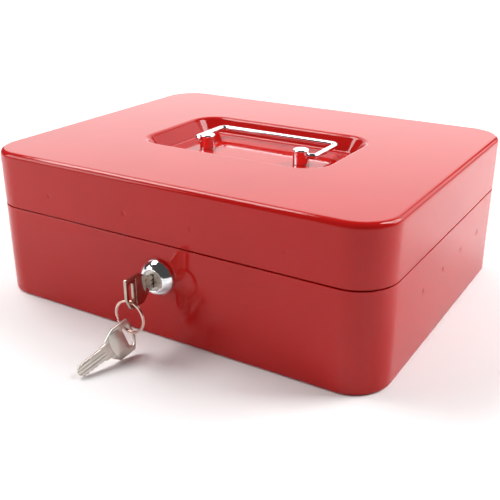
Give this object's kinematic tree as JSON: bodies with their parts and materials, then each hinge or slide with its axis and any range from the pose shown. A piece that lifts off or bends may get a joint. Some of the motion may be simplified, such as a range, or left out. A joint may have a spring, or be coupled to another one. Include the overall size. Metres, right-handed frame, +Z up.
{
  "type": "cash box",
  "caption": "Red sheet-steel cash box with rounded corners, hinged lid, folding wire handle in a recess, key lock and lift-out coin tray.",
  "frame": {"origin": "centre of the flat underside", "axes": "+Z up, +X to the right seen from the front, +Y to the back (hinge side); the lock faces -Y"},
  "size_m": [0.3, 0.3143, 0.1065],
  "materials": {
    "red_paint": "glossy red powder coat",
    "chrome": "bright chrome plate",
    "zinc_steel": "bright zinc plate",
    "lock_nickel": "nickel plated, worn satin",
    "key_nickel": "satin nickel",
    "brass": "plain rolled brass",
    "black_plastic": "fine-grained black moulding"
  },
  "bodies": {
    "box": {"body_shell": "red_paint", "tray_ledge_left": "red_paint", "tray_ledge_right": "red_paint", "hinge_leaf_body_left": "red_paint", "hinge_leaf_body_right": "red_paint", "hinge_rivets_body": "zinc_steel", "hinge_pin_left": "zinc_steel", "hinge_pin_right": "zinc_steel", "lock_housing": "chrome", "lock_nut": "zinc_steel"},
    "lid": {"lid_shell": "red_paint", "strike_plate": "zinc_steel", "hinge_leaf_lid_left": "red_paint", "hinge_leaf_lid_right": "red_paint", "hinge_rivets_lid": "zinc_steel", "handle_post_left": "chrome", "handle_post_right": "chrome", "handle_washers": "zinc_steel", "handle_screws": "zinc_steel"},
    "handle": {"handle_bail": "chrome"},
    "plug": {"lock_plug": "lock_nickel", "lock_wafers": "brass", "wafer_springs": "zinc_steel", "lock_cam": "zinc_steel", "cam_washer": "zinc_steel", "cam_screw": "zinc_steel"},
    "key": {"key_in_lock": "key_nickel"},
    "ring": {"split_ring": "chrome"},
    "spare": {"spare_key": "key_nickel"},
    "tray": {"coin_tray": "black_plastic"}
  },
  "joints": [
    {"name": "lid_hinge", "type": "hinge", "parent": "box", "child": "lid", "pos_m": [0, 0.1229, 0.0675], "axis": [-1, 0, 0], "range_deg": [0, 105]},
    {"name": "handle_swing", "type": "hinge", "parent": "lid", "child": "handle", "pos_m": [0, -0.0045, 0.1021], "axis": [1, 0, 0], "range_deg": [0, 98]},
    {"name": "tray_lift", "type": "slide", "parent": "box", "child": "tray", "axis": [0, 0, 1], "range_m": [0, 0.014]},
    {"name": "plug_turn", "type": "hinge", "parent": "box", "child": "plug", "pos_m": [0, -0.12, 0.044], "axis": [0, -1, 0], "range_deg": [0, 90]},
    {"name": "key_pull", "type": "slide", "parent": "plug", "child": "key", "axis": [0, -1, 0], "range_m": [0, 0.024]},
    {"name": "ring_swing", "type": "hinge", "parent": "key", "child": "ring", "pos_m": [0, -0.148, 0.0383], "axis": [1, 0, 0], "range_deg": [-40, 0]},
    {"name": "spare_key_swing", "type": "hinge", "parent": "ring", "child": "spare", "pos_m": [-0.0058, -0.1471, 0.01807], "axis": [-0.9181, 0, 0.3963], "range_deg": [0, 24]}
  ]
}
